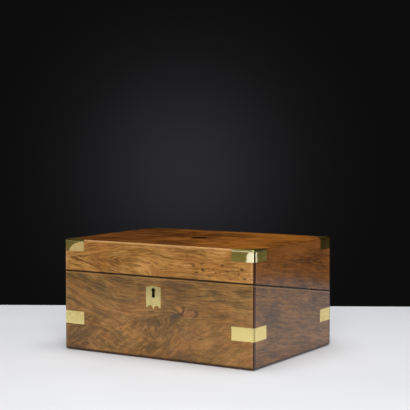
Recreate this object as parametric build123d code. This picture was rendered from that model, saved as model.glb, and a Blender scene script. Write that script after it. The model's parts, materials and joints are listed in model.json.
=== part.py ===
from build123d import *
import math
import os

# Writing box whose case is cut on a slope, so that the lid opens flat behind the base
# and both halves make one sloping desk. Millimetres, +Z up, origin in the middle of the
# underside, lock side towards -Y, hinge side towards +Y.

# Case
case_width = 330.0
case_depth = 242.0
box_height = 169.0
felt_thickness = 1.0
felt_inset = 4.0
wall = 9.5
bottom_thickness = 8.0
top_thickness = 8.0
arris_radius = 2.5
foot_bevel = 1.8

# Sloping split between base and lid
split_front_height = 121.3
split_gap = 0.5
split_chamfer = 0.6

# Main hinges
hinge_setback = 2.5
hinge_knuckle_radius = 2.2
hinge_pin_radius = 0.9
hinge_length = 45.0
hinge_knuckles = 3
hinge_leaf_thickness = 1.2
hinge_leaf_reach = 8.4
hinge_spacing = 210.0
pin_clearance = 0.05
knuckle_clearance = 0.2
running_clearance = 0.3

# Brass bound corners
brass_thickness = 1.2
brass_leg = 36.0
strap_bottom = 40.5
strap_height = 19.5
corner_height = 17.5
corner_strip = 3.0
corner_scoop_depth = 5.0

# Keyhole plate, from the keyhole's centre
plate_thickness = 1.0
plate_width = 25.5
plate_crown = 5.8
plate_shoulder = 4.1
plate_tip_drop = 25.4
plate_tip_width = 2.4
plate_notch_drop = 22.3
plate_point_drop = 27.7
plate_point_width = 1.8

# Keyhole
keyhole_under_split = 19.6
keyhole_radius = 2.9
keyhole_neck_width = 3.3
keyhole_foot_radius = 2.35
keyhole_length = 8.1
keyhole_mortise_margin = 0.5

# Round plate on the lid
lid_plate_radius = 13.0
lid_plate_thickness = 1.0

# Box lock let into the front board, a little left of the middle
lock_middle = -2.8
lock_width = 46.0
lock_depth = 7.0
lock_below_keyhole = 13.5
lock_sheet = 1.0
selvedge_length = 66.0
selvedge_thickness = 1.5
selvedge_front_margin = 1.0
drill_pin_radius = 1.2
drill_pin_short_of_face = 3.5

# Bolt and the two hooks that it passes over
bolt_travel = 4.6
bolt_thickness = 2.4
bolt_bar_height = 3.8
bolt_bar_above_keyhole = 3.1
bolt_stem_width = 3.0
bolt_finger_height = 3.0
bolt_finger_under_selvedge = 1.6
hook_places = (-6.0, 12.0)
hook_depth = 10.0
hook_shank_width = 3.0
hook_nose_length = 4.5
hook_nose_height = 3.0
hook_thickness = 2.5
hook_from_inner_face = 2.4
hook_clearance = 0.5
bolt_guide_width = 7.0
bolt_guide_height = 1.5
talon_width = 6.0
talon_height = 1.8

# Pen section behind the front board
pen_section_depth = 45.0
divider_thickness = 6.0
partition_thickness = 4.0
inkwell_width = 44.0
inkwell_floor_thickness = 4.0

# Pen tray
tray_under_split = 6.4
tray_height = 13.7
tray_clearance = 0.4
tray_rim = 3.5
tray_cove_depth = 10.5
tray_nib_well = 38.0
tray_nib_depth = 8.0
tray_bridge = 5.0
tray_ledge_width = 6.0
tray_ledge_height = 4.0

# Ink bottles
bottle_width = 41.0
bottle_height = 42.0
bottle_edge_bevel = 4.0
bottle_shoulder = 3.0
bottle_base_thickness = 6.0
bottle_well_radius = 10.0
collar_radius = 13.5
collar_height = 4.0
cap_radius = 14.5
cap_height = 8.0
cap_under_split = 2.0

# Writing flaps
flap_recess = 1.2
flap_thickness = 5.0
flap_side_clearance = 0.6
leather_thickness = 0.8
leather_border = 14.0
tab_width = 12.0
tab_length = 12.0
tab_thickness = 0.6
ledge_width = 6.0
ledge_height = 6.0

# Flap hinges
flap_knuckle_radius = 1.75
flap_pin_radius = 0.7
flap_hinge_length = 18.0
flap_hinge_knuckles = 2
flap_leaf_thickness = 1.0
flap_leaf_reach = 8.0
flap_leaf_drop = 10.0
flap_hinge_spacing = 184.0
flap_wall_clearance = 0.4
flap_edge_to_axis = 0.3

# Sizes that follow from the ones above
half_width = case_width / 2
half_depth = case_depth / 2
inner_x = half_width - wall
inner_y = half_depth - wall
floor_height = felt_thickness + bottom_thickness
ceiling_height = box_height - top_thickness
hinge_y = half_depth + hinge_setback
hinge_z = box_height / 2
slope = math.atan((split_front_height - hinge_z) / (half_depth + hinge_y))
rise = math.sin(slope)
run = math.cos(slope)
half_gap = split_gap / 2
divider_front = pen_section_depth - inner_y
divider_back = divider_front + divider_thickness
pen_middle = pen_section_depth / 2 - inner_y
partition_x = inner_x - inkwell_width
inkwell_x = inner_x - inkwell_width / 2
keyhole_height = split_front_height - keyhole_under_split
lock_bottom = keyhole_height - lock_below_keyhole
lock_front = -inner_y - lock_depth
reach = 2 * (case_width + case_depth + box_height)

# Frame of the slope: X across, Y down the slope towards the hinge, Z square to the split
slope_frame = Location((0, hinge_y, hinge_z), (-math.degrees(slope), 0, 0))


def block(x, y, z):
    """Box between the given pairs of limits."""
    size = [limits[1] - limits[0] for limits in (x, y, z)]
    centre = [(limits[0] + limits[1]) / 2 for limits in (x, y, z)]
    return Pos(*centre) * Box(*size)


def joined(solids):
    """One shape holding all the given solids."""
    total = solids[0]
    for solid in solids[1:]:
        total += solid
    return total


def down_slope(y, offset):
    """Place along the slope of a point at depth y, at the given offset from the split."""
    return (y - hinge_y - offset * rise) / run


def split_height(y, offset=0.0):
    """Height of the split at depth y, moved square to itself by the offset."""
    return hinge_z - (y - hinge_y) * rise / run + offset / run


tray_top = split_height(divider_front) - tray_under_split
cap_top = split_height(pen_middle + cap_radius) - cap_under_split
bottle_bottom = cap_top - cap_height - running_clearance - collar_height - bottle_height
well_floor_top = bottle_bottom - running_clearance


def under_split(offset):
    """All space more than the given offset under the split."""
    return slope_frame * block((-reach, reach), (-reach, reach), (-reach, -offset))


def over_split(offset):
    """All space more than the given offset over the split."""
    return slope_frame * block((-reach, reach), (-reach, reach), (offset, reach))


def case_block(inset):
    """The case's outer limits as a square edged block, moved in by the inset on every side."""
    return block(
        (inset - half_width, half_width - inset),
        (inset - half_depth, half_depth - inset),
        (felt_thickness + inset, box_height - inset),
    )


def rounded_case():
    """The case's outer form, its arrises rounded and its foot bevelled."""
    form = case_block(0)
    foot = form.faces().sort_by(Axis.Z)[0].edges()
    arrises = [edge for edge in form.edges() if edge not in foot]
    form = fillet(arrises, arris_radius)
    return chamfer(form.faces().sort_by(Axis.Z)[0].edges(), foot_bevel)


def case_half(half_space):
    """One half of the case as a solid block, with its split edge eased."""
    half = rounded_case() & half_space
    rim = []
    for edge in half.edges():
        offsets = [(slope_frame.inverse() * Pos(*point)).position.Z for point in (edge @ 0, edge @ 1)]
        if max(abs(offset) for offset in offsets) < split_gap:
            rim.append(edge)
    return chamfer(rim, split_chamfer)


def mitred_wall(side, bottom, top):
    """Space of one wall between its mitres: side is front, back, left or right."""
    along, across = (half_width, half_depth) if side in ("front", "back") else (half_depth, half_width)
    outer = [(-along, across), (along, across)]
    inner = [(along - wall, across - wall), (wall - along, across - wall)]
    outline = Polyline(outer + inner, close=True)
    turn = {"back": 0, "left": 90, "front": 180, "right": 270}[side]
    return Pos(0, 0, bottom) * Rot(0, 0, turn) * extrude(make_face(outline), top - bottom)


# Case boards

base_form = case_half(under_split(half_gap))
lid_form = case_half(over_split(half_gap))
brass_skin = rounded_case() - case_block(brass_thickness)


def corner_region(bottom, top):
    """Upright square column at the back right corner, as wide as a brass leg."""
    return block((half_width - brass_leg, half_width), (half_depth - brass_leg, half_depth), (bottom, top))


def corner_strap():
    """Angle let in flush round an upright corner of the base, back right."""
    return brass_skin & corner_region(strap_bottom, strap_bottom + strap_height)


def lid_corner():
    """Three sided cap on a lid corner, back right; the top leaf has a scooped inner edge."""
    cap = brass_skin & corner_region(box_height - corner_height, box_height)
    far = (half_width - brass_leg, half_depth - corner_strip)
    near = (half_width - corner_strip, half_depth - brass_leg)
    middle = (far[0] + near[0]) / 2, (far[1] + near[1]) / 2
    scoop_shift = corner_scoop_depth / math.sqrt(2)
    scoop_point = (middle[0] + scoop_shift, middle[1] + scoop_shift)
    inner_corner = (half_width - brass_leg, half_depth - brass_leg)
    outline = ThreePointArc(far, scoop_point, near) + Polyline(near, inner_corner, far)
    scoop = Pos(0, 0, box_height - corner_height) * extrude(make_face(outline), corner_height)
    return cap - scoop


def at_each_corner(piece):
    """Copies of a back right corner piece at the four corners, by corner name."""
    back_left = mirror(piece, about=Plane.YZ)
    return {
        "back_right": piece,
        "back_left": back_left,
        "front_right": mirror(piece, about=Plane.XZ),
        "front_left": mirror(back_left, about=Plane.XZ),
    }


straps = at_each_corner(corner_strap())
corners = at_each_corner(lid_corner())

# Keyhole plate

front_face = Plane(origin=(0, -half_depth, 0), x_dir=(1, 0, 0), z_dir=(0, -1, 0))


def keyhole_plate():
    """Plate with an arched top and a scalloped lower edge, let in flush."""
    side = plate_width / 2
    tip = side - plate_tip_width
    notch = (tip + plate_point_width / 2) / 2
    point_side = plate_point_width / 2
    point_shoulder = (point_side, point_side - plate_point_drop)
    right = Polyline((0, -plate_point_drop), point_shoulder)
    right += ThreePointArc(point_shoulder, (notch, -plate_notch_drop), (tip, -plate_tip_drop))
    right += Polyline((tip, -plate_tip_drop), (side, -plate_tip_drop), (side, plate_shoulder))
    crown = ThreePointArc((side, plate_shoulder), (0, plate_crown), (-side, plate_shoulder))
    outline = make_face(right + crown + mirror(right, about=Plane.YZ))
    return extrude(front_face * Pos(0, keyhole_height) * outline, -plate_thickness)


def keyhole(depth):
    """Keyhole through everything down to the given depth behind the front face."""
    foot = keyhole_height - keyhole_length
    neck_middle = (keyhole_height + foot) / 2
    outline = Pos(0, keyhole_height) * Circle(keyhole_radius)
    outline += Pos(0, foot) * Circle(keyhole_foot_radius)
    outline += Pos(0, neck_middle) * Rectangle(keyhole_neck_width, keyhole_length)
    return extrude(front_face * outline, -depth)


def key_mortise():
    """Square cut hole for the key through the board, hidden behind the plate."""
    side = keyhole_radius + keyhole_mortise_margin
    top = keyhole_height + side
    foot = keyhole_height - keyhole_length - keyhole_foot_radius - keyhole_mortise_margin
    return block((-side, side), (-half_depth, lock_front), (foot, top))


escutcheon_blank = keyhole_plate()
lock_place = Pos(lock_middle, 0, 0)

# Lock and link plate

selvedge_y = (selvedge_front_margin - half_depth, -inner_y)
selvedge_x = (-selvedge_length / 2, selvedge_length / 2)
hook_line = down_slope(-inner_y - hook_from_inner_face, 0)
hook_y = (hook_line - hook_thickness / 2, hook_line + hook_thickness / 2)
nose_top_height = split_height(-inner_y - hook_from_inner_face, hook_nose_height - hook_depth)
finger_top = split_height(-inner_y, -half_gap - selvedge_thickness) - bolt_finger_under_selvedge
bolt_bottom = keyhole_height + bolt_bar_above_keyhole
bolt_middle = -inner_y - hook_from_inner_face - (hook_depth - hook_nose_height / 2) * rise
bolt_y = (bolt_middle - bolt_thickness / 2, bolt_middle + bolt_thickness / 2)


def edge_plate(low, high):
    """Plate lying on the edge of the front wall between two offsets from the split."""
    band = block(selvedge_x, selvedge_y, (0, box_height))
    return band & (slope_frame * block((-reach, reach), (-reach, reach), (low, high)))


def lock_hooks():
    """Two hooks that hang from the link plate, noses towards -X."""
    hooks = []
    for place in hook_places:
        shank = block((place, place + hook_shank_width), hook_y, (-hook_depth, half_gap))
        nose_x = (place - hook_nose_length, place)
        nose = block(nose_x, hook_y, (-hook_depth, hook_nose_height - hook_depth))
        hooks.append(slope_frame * (shank + nose))
    return joined(hooks)


def hook_slots():
    """Slots in the selvedge that the hooks drop through."""
    slots = []
    for place in hook_places:
        across = (place - hook_nose_length - hook_clearance, place + hook_shank_width + hook_clearance)
        deep = (hook_y[0] - hook_clearance, hook_y[1] + hook_clearance)
        slots.append(slope_frame * block(across, deep, (-hook_depth / 2, hook_depth)))
    return joined(slots)


lock_x = (-lock_width / 2, lock_width / 2)
lock_chamber_x = (lock_sheet - lock_width / 2, lock_width / 2 - lock_sheet)
lock_space = block(lock_x, (lock_front, -inner_y), (lock_bottom, box_height)) & under_split(half_gap)
lock_selvedge = edge_plate(-half_gap - selvedge_thickness, -half_gap)


def lock_case():
    """Open pan with the selvedge, the drill pin and two guides under the bolt."""
    pan = block(lock_x, (lock_front + lock_sheet, -inner_y), (lock_bottom, box_height))
    pan &= under_split(half_gap)
    chamber_y = (lock_front, -inner_y - lock_sheet)
    chamber = block(lock_chamber_x, chamber_y, (lock_bottom + lock_sheet, box_height))
    chamber &= under_split(half_gap + selvedge_thickness)
    case = pan - chamber + lock_selvedge
    pin_tip = drill_pin_short_of_face - half_depth
    pin_length = -inner_y - lock_sheet - pin_tip
    pin = Rot(90, 0, 0) * Cylinder(drill_pin_radius, pin_length)
    pin = Pos(0, pin_tip + pin_length / 2, keyhole_height) * pin
    guide_top = bolt_bottom - running_clearance
    guide_y = (bolt_y[0], -inner_y - lock_sheet)
    for side in (-1, 1):
        ends = sorted((side * lock_chamber_x[1], side * (lock_chamber_x[1] - bolt_guide_width)))
        case += block(ends, guide_y, (guide_top - bolt_guide_height, guide_top))
    return case + pin - hook_slots()


def lock_cap():
    """Front cover of the lock, with the keyhole."""
    cover = block(lock_x, (lock_front, lock_front + lock_sheet), (lock_bottom, box_height))
    cover &= under_split(half_gap + selvedge_thickness)
    return cover - keyhole(lock_front + lock_sheet + half_depth)


def lock_bolt():
    """Bar with a talon for the key and two stems whose fingers pass over the hooks."""
    tip_shift = -hook_nose_length - hook_clearance
    stem_shift = tip_shift - bolt_travel - running_clearance
    left = hook_places[0] + stem_shift - bolt_stem_width
    bolt = block((left, hook_places[1]), bolt_y, (bolt_bottom, bolt_bottom + bolt_bar_height))
    for place in hook_places:
        stem_right = place + stem_shift
        bolt += block((stem_right - bolt_stem_width, stem_right), bolt_y, (bolt_bottom, finger_top))
        finger_x = (stem_right, place + tip_shift)
        bolt += block(finger_x, bolt_y, (finger_top - bolt_finger_height, finger_top))
    talon_x = (-talon_width / 2, talon_width / 2)
    return bolt - block(talon_x, bolt_y, (bolt_bottom, bolt_bottom + talon_height))


# Main hinges

def knuckle_spans(length, count):
    """Limits of each knuckle of a hinge along its pin, with a running gap between."""
    pitch = length / count
    start = -length / 2
    spans = []
    for index in range(count):
        low = start + index * pitch
        spans.append((low + knuckle_clearance / 2, low + pitch - knuckle_clearance / 2))
    return spans


def tube_along_x(span, radius):
    """Round bar along X between the limits."""
    return Pos((span[0] + span[1]) / 2, 0, 0) * Rot(0, 90, 0) * Cylinder(radius, span[1] - span[0])


hinge_ends = (-hinge_length / 2, hinge_length / 2)
hinge_places = (-hinge_spacing / 2, hinge_spacing / 2)
main_spans = knuckle_spans(hinge_length, hinge_knuckles)


def main_leaf(spans):
    """Lower leaf of a main hinge about its own axis, with the given knuckles unbored."""
    levels = (-half_gap - hinge_leaf_thickness, -half_gap)
    leaf = block(hinge_ends, (-hinge_setback - hinge_leaf_reach, -hinge_setback), levels)
    for span in spans:
        leaf += tube_along_x(span, hinge_knuckle_radius)
        leaf += block(span, (-hinge_setback, 0), levels)
    return leaf


def at_main_hinges(piece):
    """The piece at both main hinges."""
    return joined([slope_frame * Pos(x, 0, 0) * piece for x in hinge_places])


# The pin is held in the base leaf's end knuckles and turns in the lid leaf's
pin_span = (sum(main_spans[0]) / 2, sum(main_spans[-1]) / 2)
base_leaf = main_leaf(main_spans[0::2]) + tube_along_x(pin_span, hinge_pin_radius)
lid_leaf = mirror(main_leaf(main_spans[1::2]), about=Plane.XY)
lid_leaf -= tube_along_x(hinge_ends, hinge_pin_radius + pin_clearance)
base_hinge_leaves = at_main_hinges(base_leaf)
lid_hinge_leaves = at_main_hinges(lid_leaf)

# Flaps, modelled under the split for the base and mirrored in it for the lid

flap_top = -flap_recess
flap_bottom = flap_top - flap_thickness
flap_axis_z = flap_top - flap_knuckle_radius
flap_axis_y = down_slope(inner_y - flap_wall_clearance - flap_knuckle_radius, flap_axis_z)
flap_rear = flap_axis_y - flap_edge_to_axis
flap_x = inner_x - flap_side_clearance
flap_hinge_places = (-flap_hinge_spacing / 2, flap_hinge_spacing / 2)
flap_spans = knuckle_spans(flap_hinge_length, flap_hinge_knuckles)
flap_hinge_ends = (-flap_hinge_length / 2, flap_hinge_length / 2)
flap_leaf_edge = -flap_knuckle_radius - running_clearance


def flap_front(stop_y):
    """Place along the slope of a flap's free edge, clear of the wall face at depth stop_y."""
    return down_slope(stop_y + flap_side_clearance, flap_bottom)


def flap_moving_leaves():
    """Leaves let in flush in the flap's face, each with one knuckle of its hinge."""
    top = flap_top - flap_axis_z
    levels = (top - flap_leaf_thickness, top)
    leaf = block(flap_hinge_ends, (flap_leaf_edge - flap_leaf_reach, flap_leaf_edge), levels)
    for span in flap_spans[1::2]:
        leaf += tube_along_x(span, flap_knuckle_radius)
        leaf += block(span, (flap_leaf_edge, 0), levels)
    leaf -= tube_along_x(flap_hinge_ends, flap_pin_radius + pin_clearance)
    return joined([Pos(x, flap_axis_y, flap_axis_z) * leaf for x in flap_hinge_places])


def flap_leather(front):
    """Leather let in flush in the flap's face."""
    edge = flap_x - leather_border
    along = (front + leather_border, flap_rear - leather_border)
    return block((-edge, edge), along, (flap_top - leather_thickness, flap_top))


def flap_tab(front):
    """Short pull tab on the flap's free edge."""
    across = (-tab_width / 2, tab_width / 2)
    return block(across, (front, front + tab_length), (flap_top, flap_top + tab_thickness))


def flap_board(front):
    """Flap with seats for its leather and leaves, and notches round the knuckles."""
    board = block((-flap_x, flap_x), (front, flap_rear), (flap_bottom, flap_top))
    for x in flap_hinge_places:
        ends = (x + flap_hinge_ends[0] - running_clearance, x + flap_hinge_ends[1] + running_clearance)
        board -= block(ends, (flap_axis_y + flap_leaf_edge, 0), (flap_bottom, flap_top))
    return board - flap_leather(front) - flap_moving_leaves()


base_flap_front = flap_front(divider_back)


# The lid's flap is built as if under the split; these turn it over into the lid
def turned_over(shape):
    """Mirror of a slope frame shape in the split."""
    return mirror(shape, about=Plane.XY)


lid_flap_axis_y = down_slope(inner_y - flap_wall_clearance - flap_knuckle_radius, -flap_axis_z)
lid_shift = lid_flap_axis_y - flap_axis_y
lid_flap_front = down_slope(-inner_y + flap_side_clearance, flap_recess) - lid_shift


def flap_fixed_leaves(above):
    """Leaves let in flush in the back wall's inner face, each with the other knuckle and the pin."""
    side = 1 if above else -1
    axis_y = inner_y - flap_wall_clearance - flap_knuckle_radius
    axis_z = split_height(axis_y, -side * flap_axis_z)
    levels = sorted((-side * flap_knuckle_radius, side * flap_leaf_drop))
    wall_side = flap_wall_clearance + flap_knuckle_radius
    flap_web = (-flap_leaf_thickness / 2, flap_leaf_thickness / 2)
    leaf = block(flap_hinge_ends, (wall_side, wall_side + flap_leaf_thickness), levels)
    for span in flap_spans[0::2]:
        leaf += tube_along_x(span, flap_knuckle_radius)
        leaf += block(span, (0, wall_side), flap_web)
    leaf += tube_along_x((sum(flap_spans[0]) / 2, flap_spans[-1][1]), flap_pin_radius)
    return joined([Pos(x, axis_y, axis_z) * leaf for x in flap_hinge_places])


def flap_ledges(front_y, above):
    """Fillets round the compartment that the flap lies on."""
    near = -flap_bottom + running_clearance
    levels = (near, near + ledge_height) if above else (-near - ledge_height, -near)
    band = slope_frame * block((-reach, reach), (-reach, reach), levels)
    ledges = [
        block((-inner_x, inner_x), (front_y, front_y + ledge_width), (0, box_height)),
        block((-inner_x, inner_x), (inner_y - ledge_width, inner_y), (0, box_height)),
    ]
    for side in (-1, 1):
        across = sorted((side * inner_x, side * (inner_x - ledge_width)))
        ledges.append(block(across, (front_y + ledge_width, inner_y - ledge_width), (0, box_height)))
    return Compound([ledge & band for ledge in ledges])


# Pen section

def pen_tray():
    """Lift out tray with a coved pen trough and a square well for nibs."""
    x = partition_x - partition_thickness - tray_clearance
    y = (-inner_y + tray_clearance, divider_front - tray_clearance)
    tray = block((-x, x), y, (tray_top - tray_height, tray_top))
    half_cove = pen_section_depth / 2 - tray_clearance - tray_rim
    cove_radius = (half_cove**2 + tray_cove_depth**2) / (2 * tray_cove_depth)
    nib_left = x - tray_rim - tray_nib_well
    trough = tube_along_x((tray_rim - x, nib_left - tray_bridge), cove_radius)
    tray -= Pos(0, pen_middle, tray_top - tray_cove_depth + cove_radius) * trough
    nib_y = (y[0] + tray_rim, y[1] - tray_rim)
    return tray - block((nib_left, x - tray_rim), nib_y, (tray_top - tray_nib_depth, tray_top))


def tray_ledges():
    """Two fillets on the partitions that carry the tray."""
    top = tray_top - tray_height - running_clearance
    outer = partition_x - partition_thickness
    ledges = []
    for side in (-1, 1):
        across = sorted((side * outer, side * (outer - tray_ledge_width)))
        ledges.append(block(across, (-inner_y, divider_front), (top - tray_ledge_height, top)))
    return joined(ledges)


def ink_bottle():
    """Square glass block with bevelled edges and a round well for the ink."""
    half = bottle_width / 2
    body = block((-half, half), (-half, half), (0, bottle_height))
    body = chamfer(body.edges().filter_by(Axis.Z), bottle_edge_bevel)
    body = chamfer(body.faces().sort_by(Axis.Z)[-1].edges(), bottle_shoulder)
    well_depth = bottle_height - bottle_base_thickness
    return body - Pos(0, 0, bottle_height - well_depth / 2) * Cylinder(bottle_well_radius, well_depth)


def bottle_collar():
    """Brass ring cemented round the mouth of the well."""
    ring = Cylinder(collar_radius, collar_height) - Cylinder(bottle_well_radius, collar_height)
    return Pos(0, 0, bottle_height + collar_height / 2) * ring


def bottle_cap():
    """Turned screw cap."""
    seat = bottle_height + collar_height + running_clearance
    return Pos(0, 0, seat + cap_height / 2) * Cylinder(cap_radius, cap_height)


def in_well(side, piece):
    """A bottle piece placed in the left or right well."""
    return Pos(side * inkwell_x, pen_middle, bottle_bottom) * piece


# Assembly

parts = {}

felt_x = (felt_inset - half_width, half_width - felt_inset)
felt_y = (felt_inset - half_depth, half_depth - felt_inset)
everywhere = (-reach, reach)
parts["base_felt"] = block(felt_x, felt_y, (0, felt_thickness))
parts["bottom_board"] = base_form & block(everywhere, everywhere, (felt_thickness, floor_height))
parts["lid_top_board"] = lid_form & block(everywhere, everywhere, (ceiling_height, box_height))
for side in ("front", "back", "left", "right"):
    parts[f"base_{side}_board"] = base_form & mitred_wall(side, floor_height, ceiling_height)
    parts[f"lid_{side}_rail"] = lid_form & mitred_wall(side, floor_height, ceiling_height)

for corner, strap in straps.items():
    parts[f"strap_{corner}"] = strap
    for side in corner.split("_"):
        parts[f"base_{side}_board"] -= strap
for corner, cap in corners.items():
    parts[f"lid_corner_{corner}"] = cap
    parts["lid_top_board"] -= cap
    for side in corner.split("_"):
        parts[f"lid_{side}_rail"] -= cap

round_plate = Cylinder(lid_plate_radius, lid_plate_thickness)
parts["lid_plate"] = Pos(0, 0, box_height - lid_plate_thickness / 2) * round_plate
parts["lid_top_board"] -= parts["lid_plate"]

parts["escutcheon"] = lock_place * (escutcheon_blank - keyhole(plate_thickness))
parts["lock_case"] = lock_place * lock_case()
parts["lock_cap"] = lock_place * lock_cap()
parts["lock_bolt"] = lock_place * lock_bolt()
link_plate = edge_plate(half_gap, half_gap + selvedge_thickness)
parts["link_plate"] = lock_place * (link_plate + lock_hooks())
parts["base_front_board"] -= lock_place * (escutcheon_blank + key_mortise())
parts["base_front_board"] -= lock_place * (lock_space + lock_selvedge)
parts["lid_front_rail"] -= lock_place * link_plate

parts["base_hinge_leaves"] = base_hinge_leaves
parts["lid_hinge_leaves"] = lid_hinge_leaves
base_fixed_leaves = flap_fixed_leaves(above=False)
lid_fixed_leaves = flap_fixed_leaves(above=True)
parts["base_back_board"] -= base_hinge_leaves
parts["base_back_board"] -= base_fixed_leaves
parts["lid_back_rail"] -= lid_hinge_leaves
parts["lid_back_rail"] -= lid_fixed_leaves

divider = block((-inner_x, inner_x), (divider_front, divider_back), (floor_height, box_height))
parts["pen_divider"] = divider & under_split(half_gap)
partition_y = (-inner_y, divider_front)
for side, name in ((-1, "left"), (1, "right")):
    across = sorted((side * partition_x, side * (partition_x - partition_thickness)))
    parts[f"inkwell_partition_{name}"] = block(across, partition_y, (floor_height, tray_top))
    well_x = sorted((side * partition_x, side * inner_x))
    well_floor = (well_floor_top - inkwell_floor_thickness, well_floor_top)
    parts[f"inkwell_floor_{name}"] = block(well_x, partition_y, well_floor)
    parts[f"ink_bottle_{name}"] = in_well(side, ink_bottle())
    parts[f"ink_cap_{name}"] = in_well(side, bottle_cap())
parts["ink_collars"] = joined([in_well(side, bottle_collar()) for side in (-1, 1)])
parts["tray_ledges"] = tray_ledges()
parts["pen_tray"] = pen_tray()

parts["base_flap_board"] = slope_frame * flap_board(base_flap_front)
parts["base_flap_leather"] = slope_frame * flap_leather(base_flap_front)
parts["base_flap_tab"] = slope_frame * flap_tab(base_flap_front)
parts["base_flap_moving_leaves"] = slope_frame * flap_moving_leaves()
parts["base_flap_fixed_leaves"] = base_fixed_leaves
parts["base_flap_ledges"] = flap_ledges(divider_back, above=False)

lid_frame = slope_frame * Pos(0, lid_shift, 0)
parts["lid_flap_board"] = lid_frame * turned_over(flap_board(lid_flap_front))
parts["lid_flap_leather"] = lid_frame * turned_over(flap_leather(lid_flap_front))
parts["lid_flap_tab"] = lid_frame * turned_over(flap_tab(lid_flap_front))
parts["lid_flap_moving_leaves"] = lid_frame * turned_over(flap_moving_leaves())
parts["lid_flap_fixed_leaves"] = lid_fixed_leaves
parts["lid_flap_ledges"] = flap_ledges(-inner_y, above=True)

os.makedirs("parts", exist_ok=True)
for name, shape in parts.items():
    export_step(shape, f"parts/{name}.step")

flap_pivot = slope_frame * Pos(0, flap_axis_y, flap_axis_z)
lid_flap_pivot = lid_frame * Pos(0, flap_axis_y, -flap_axis_z)
print("slope degrees", round(math.degrees(slope), 3))
print("hinge axis", round(hinge_y, 3), round(hinge_z, 3))
print("base flap axis", flap_pivot.position)
print("lid flap axis", lid_flap_pivot.position)
print("bolt finger over nose", round(finger_top - bolt_finger_height - nose_top_height, 3))
print("nodes", len(parts))
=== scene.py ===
import json
import math

import bmesh
import bpy
from mathutils import Matrix, Vector


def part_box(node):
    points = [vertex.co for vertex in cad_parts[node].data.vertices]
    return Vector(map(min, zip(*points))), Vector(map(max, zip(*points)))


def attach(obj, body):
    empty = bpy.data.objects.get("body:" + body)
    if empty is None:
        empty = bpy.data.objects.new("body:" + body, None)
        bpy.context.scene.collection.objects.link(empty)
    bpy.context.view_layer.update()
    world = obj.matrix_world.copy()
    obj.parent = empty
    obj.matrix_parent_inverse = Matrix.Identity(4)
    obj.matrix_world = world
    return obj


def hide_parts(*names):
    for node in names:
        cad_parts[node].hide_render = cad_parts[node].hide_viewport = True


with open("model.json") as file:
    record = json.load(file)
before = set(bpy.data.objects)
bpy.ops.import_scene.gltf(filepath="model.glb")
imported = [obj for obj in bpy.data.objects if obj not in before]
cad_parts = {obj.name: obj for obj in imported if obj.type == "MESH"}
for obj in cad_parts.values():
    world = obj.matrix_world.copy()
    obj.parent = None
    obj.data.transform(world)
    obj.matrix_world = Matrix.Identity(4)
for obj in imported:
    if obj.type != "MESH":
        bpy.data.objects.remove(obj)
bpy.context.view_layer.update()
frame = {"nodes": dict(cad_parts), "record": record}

MM = 0.001

# Sizes of the case, as in the CAD model, in metres
half_width = 0.165
half_depth = 0.121
box_height = 0.169
split_front = 0.1213
hinge_y = 0.1235
hinge_z = 0.0845
slope = math.atan((split_front - hinge_z) / (half_depth + hinge_y))
slope_frame = Matrix.Translation((0, hinge_y, hinge_z)) @ Matrix.Rotation(-slope, 4, "X")

# Lock and keyhole, in millimetres: distance left of the middle, and height of the bulb's centre
lock_left = 2.8
bulb_height = 101.7

# Base of the soft hills and glows that are written as powers
natural = 2.718


# Camera and light

camera_turn = math.radians(31.69)
camera_tilt = math.radians(86.28)
camera_data = bpy.data.cameras.new("camera")
camera_data.lens = 106.4
camera_data.sensor_width = 36
camera = bpy.data.objects.new("camera", camera_data)
camera.location = (0.9806, -1.5708, 0.33965)
camera.rotation_euler = (camera_tilt, 0, camera_turn)
bpy.context.scene.collection.objects.link(camera)
bpy.context.scene.camera = camera
bpy.context.scene.view_settings.view_transform = "Standard"


def from_camera(ahead, right, up):
    """Point at distances ahead and right of the camera along the floor, at a height over it."""
    forward = Vector((-math.sin(camera_turn), math.cos(camera_turn), 0))
    across = Vector((math.cos(camera_turn), math.sin(camera_turn), 0))
    foot = Vector((camera.location.x, camera.location.y, up))
    return foot + ahead * forward + right * across


def softbox(name, place, target, size, watts):
    """Rectangular area light at a place, turned towards its target."""
    lamp = bpy.data.lights.new(name, "AREA")
    lamp.shape = "RECTANGLE"
    lamp.size, lamp.size_y = size
    lamp.energy = watts
    light = bpy.data.objects.new(name, lamp)
    light.location = place
    aim = Vector(target) - Vector(place)
    light.rotation_euler = aim.to_track_quat("-Z", "Y").to_euler()
    bpy.context.scene.collection.objects.link(light)
    return light


box_middle = (0, 0, 0.1)
front_middle = (0, 0, 0.08)
softbox("overhead_softbox", from_camera(1.75, 0.0, 1.5), box_middle, size=(1.0, 0.8), watts=12.6)
softbox("front_softbox", from_camera(-0.1, -0.02, 1.1), front_middle, size=(1.1, 0.9), watts=28.8)
softbox("side_softbox", from_camera(1.6, 1.9, 0.9), box_middle, size=(0.7, 1.0), watts=3.6)
back_light = softbox(
    "back_softbox", from_camera(3.6, -0.8, 1.0), box_middle, size=(1.0, 0.8), watts=3.6
)
back_light.visible_glossy = False


# Node materials

class Wire:
    """A value in a material, on which sums are written as Python."""

    def __init__(self, finish, socket):
        self.finish = finish
        self.socket = socket

    def result(self, operation, first, second):
        return self.finish.maths(operation, first, second)

    def __add__(self, other):
        return self.result("ADD", self, other)

    def __sub__(self, other):
        return self.result("SUBTRACT", self, other)

    def __mul__(self, other):
        return self.result("MULTIPLY", self, other)

    def __truediv__(self, other):
        return self.result("DIVIDE", self, other)

    def __pow__(self, other):
        return self.result("POWER", self, other)

    def __lt__(self, other):
        return self.result("LESS_THAN", self, other)

    def __rsub__(self, other):
        return self.result("SUBTRACT", other, self)

    def __rpow__(self, other):
        return self.result("POWER", other, self)

    def __abs__(self):
        return self.result("ABSOLUTE", self, 0)

    def __neg__(self):
        return self * -1

    __radd__ = __add__
    __rmul__ = __mul__


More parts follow.
